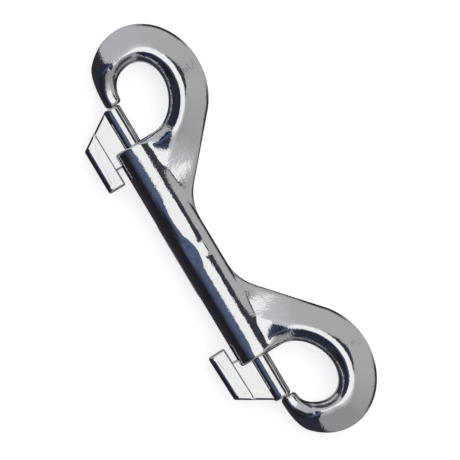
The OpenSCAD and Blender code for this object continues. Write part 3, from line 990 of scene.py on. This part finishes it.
def laid_over(below, card, shade):
    """The card's shade where the card is, and what was there before elsewhere."""
    mixed = add(tree, "ShaderNodeMix", {"Factor": card}, data_type="RGBA")
    for socket, value in ((mixed.inputs[6], below), (mixed.inputs[7], shade)):
        if isinstance(value, bpy.types.NodeSocket):
            tree.links.new(value, socket)
        else:
            socket.default_value = value
    return mixed.outputs[2]


def graded(value, begins, full):
    """0 up to where a shade begins, 1 past where it is full, and straight between the two. It
    may begin above and be full below."""
    limits = {"From Min": begins, "From Max": full}
    return add(tree, "ShaderNodeMapRange", {"Value": value, **limits}).outputs["Result"]


def pointed_card(middle, height, half_width, softness):
    """1 inside a leaf that stands upright on the slope plane, pointed at both ends: its half
    width falls with the square of the distance from its middle, which is given in degrees."""
    slopes = add(tree, "ShaderNodeSeparateXYZ", {"Vector": slope}).outputs
    from_middle = {0: slopes["Y"], 1: slope_of(middle)}
    up = add(tree, "ShaderNodeMath", from_middle, operation="SUBTRACT").outputs[0]
    up = add(tree, "ShaderNodeMath", {0: up, 1: slope_of(height)}, operation="DIVIDE").outputs[0]
    up = add(tree, "ShaderNodeMath", {0: up, 1: up}, operation="MULTIPLY").outputs[0]
    across = add(tree, "ShaderNodeMath", {0: slopes["X"]}, operation="ABSOLUTE").outputs[0]
    inputs = {0: across, 1: 1 / slope_of(half_width), 2: up}
    reach = add(tree, "ShaderNodeMath", inputs, operation="MULTIPLY_ADD").outputs[0]
    inside = graded(reach, 1 - softness, 1 + softness)
    return add(tree, "ShaderNodeMath", {0: 1.0, 1: inside}, operation="SUBTRACT").outputs[0]


def product(*values):
    """The values multiplied together."""
    result = values[0]
    for value in values[1:]:
        result = add(tree, "ShaderNodeMath", {0: result, 1: value}, operation="MULTIPLY").outputs[0]
    return result


# %% Walls
# Each pair says at which part of a direction, along X, Y or Z, a shade begins and is full.
# The walls are pale on the left, darker on the right and in between behind, and glow round the
# soft box, in an oval given in degrees of tilt: middle, half axes and softness
LEFT_WALL, RIGHT_WALL, WALL_CHANGES = "ABABB1", "8C8B8E", (-0.7, 0.6)
BACK_WALL, BACK_BEGINS = "A6A5A6", (0.2, 0.95)
GLOW, GLOW_OVAL = "BFBFC4", ((0, 7), (26, 13), 0.5)
# It is dark under the horizon in the two back corners, and everywhere far below it
DARK, CORNER_Y, CORNER_ASIDE, CORNER_Z = "2A2B32", (0.3, 0.5), (0.2, 0.4), (-0.05, -0.28)
DARK_BELOW = (-0.50, -0.70)
# A dark leaf stands behind the soft box: its middle, half height, half width and softness
LEAF, LEAF_SHAPE = "34353D", (21.8, 19.0, 10.5, 0.07)

part_x, part_y, part_z = parts["X"], parts["Y"], parts["Z"]
aside = add(tree, "ShaderNodeMath", {0: part_x}, operation="ABSOLUTE").outputs[0]
walls = laid_over(seen_as(LEFT_WALL), graded(part_x, *WALL_CHANGES), seen_as(RIGHT_WALL))
walls = laid_over(walls, graded(part_y, *BACK_BEGINS), seen_as(BACK_WALL))
walls = laid_over(walls, oval_card(*GLOW_OVAL), seen_as(GLOW))
corners = product(graded(part_y, *CORNER_Y), graded(aside, *CORNER_ASIDE), graded(part_z, *CORNER_Z))
walls = laid_over(walls, corners, seen_as(DARK))
walls = laid_over(walls, graded(part_z, *DARK_BELOW), seen_as(DARK))
seen = laid_over(walls, pointed_card(*LEAF_SHAPE), seen_as(LEAF))

# %% Dark screen and soft box
# The screen on the latches' side reaches 65 degrees to each side of -Y. It is blue at its top,
# near black over its middle, bluer at its sides, and brownish under the horizon
SCREEN_EDGE, SCREEN_BEGINS = math.tan(math.radians(25)), (-0.01, 0.05)
SCREEN_TOP, SCREEN, SCREEN_TURNS = "4E5A74", "1E1E23", (0.86, 0.48)
SCREEN_SIDES, SIDES_BEGIN = "262A36", (0.08, 0.28)
SCREEN_FOOT, FOOT_BEGINS = "2D2C32", (0.1, -0.4)
# Under the screen lies a paler ground, seen only by the steepest metal
GROUND, GROUND_Z, GROUND_Y = "8C8E96", (-0.78, -0.92), (0.1, -0.1)
# The soft box is an oval given in degrees of tilt
SOFT_BOX, SOFT_BOX_OVAL = "ECECEC", ((0, 9.5), (15.5, 12.8), 0.05)

front = add(tree, "ShaderNodeMath", {0: aside, 1: -SCREEN_EDGE}, operation="MULTIPLY").outputs[0]
front = add(tree, "ShaderNodeMath", {0: front, 1: part_y}, operation="SUBTRACT").outputs[0]
screen = laid_over(seen_as(SCREEN_TOP), graded(part_z, *SCREEN_TURNS), seen_as(SCREEN))
screen = laid_over(screen, graded(aside, *SIDES_BEGIN), seen_as(SCREEN_SIDES))
screen = laid_over(screen, graded(part_z, *FOOT_BEGINS), seen_as(SCREEN_FOOT))
seen = laid_over(seen, graded(front, *SCREEN_BEGINS), screen)
ground = product(graded(part_z, *GROUND_Z), graded(part_y, *GROUND_Y))
seen = laid_over(seen, ground, seen_as(GROUND))
seen = laid_over(seen, oval_card(*SOFT_BOX_OVAL), seen_as(SOFT_BOX))

# %% What the camera sees past the floor
path = add(tree, "ShaderNodeLightPath").outputs["Is Camera Ray"]
seen = laid_over(seen, path, colour("F8F8F8"))
sky = add(tree, "ShaderNodeBackground", {"Color": seen, "Strength": 1.0})
add(tree, "ShaderNodeOutputWorld", {"Surface": sky.outputs["Background"]})

# %% [markdown]
# ## The camera
# The photograph looks straight down, from far enough away that there is no perspective to speak
# of, with the snap lying slantwise across the picture.

# %% Camera
FIELD = 115.0
AIM = Vector((-0.13, 3.08, 5.0)) * MM
PICTURE_RIGHT = Vector((0.5135, 0.8581, 0.0)).normalized()
camera_data = bpy.data.cameras.new("camera")
camera_data.lens = 200.0
camera_data.sensor_width = 36.0
camera = bpy.data.objects.new("camera", camera_data)
bpy.context.scene.collection.objects.link(camera)
picture_up = Vector((0, 0, 1)).cross(PICTURE_RIGHT)
turn = Matrix((PICTURE_RIGHT, picture_up, Vector((0, 0, 1)))).transposed()
distance = FIELD * MM * camera_data.lens / camera_data.sensor_width
camera.matrix_world = Matrix.Translation(AIM + Vector((0, 0, distance))) @ turn.to_4x4()
bpy.context.scene.camera = camera
bpy.context.scene.view_settings.view_transform = "Standard"
print(f"camera {distance:.2f} m above the snap, {FIELD:.0f} mm across the picture")

# %% Sizes, and the end
low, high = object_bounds()
pairs = zip((*low, *high), (*cad_low, *cad_high))
print("scene less solid, each side:", [round((ours - cad) / MM, 2) for ours, cad in pairs], "mm")
